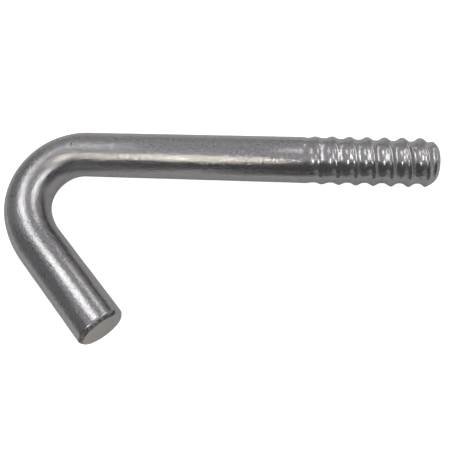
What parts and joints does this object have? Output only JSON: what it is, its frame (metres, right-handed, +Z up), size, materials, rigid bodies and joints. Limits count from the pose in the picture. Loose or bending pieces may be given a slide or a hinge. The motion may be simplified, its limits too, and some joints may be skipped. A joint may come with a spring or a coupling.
{
  "type": "j-bolt",
  "caption": "Steel hook bolt: a round rod bent into a J-shaped hook, with a coarse rolled coil thread and a bevelled tip at the other end.",
  "frame": {"origin": "on the shank's axis, where the straight shank meets the bend of the hook", "axes": "+X along the shank towards the threaded tip, -Y towards the side that the hook turns to, +Z up, square to the plane of the bent rod"},
  "size_m": [0.108, 0.0543, 0.012],
  "materials": {
    "zinc_steel": "bright zinc plating, satin, finely grained"
  },
  "bodies": {
    "root": {"j_bolt": "zinc_steel"}
  },
  "joints": []
}
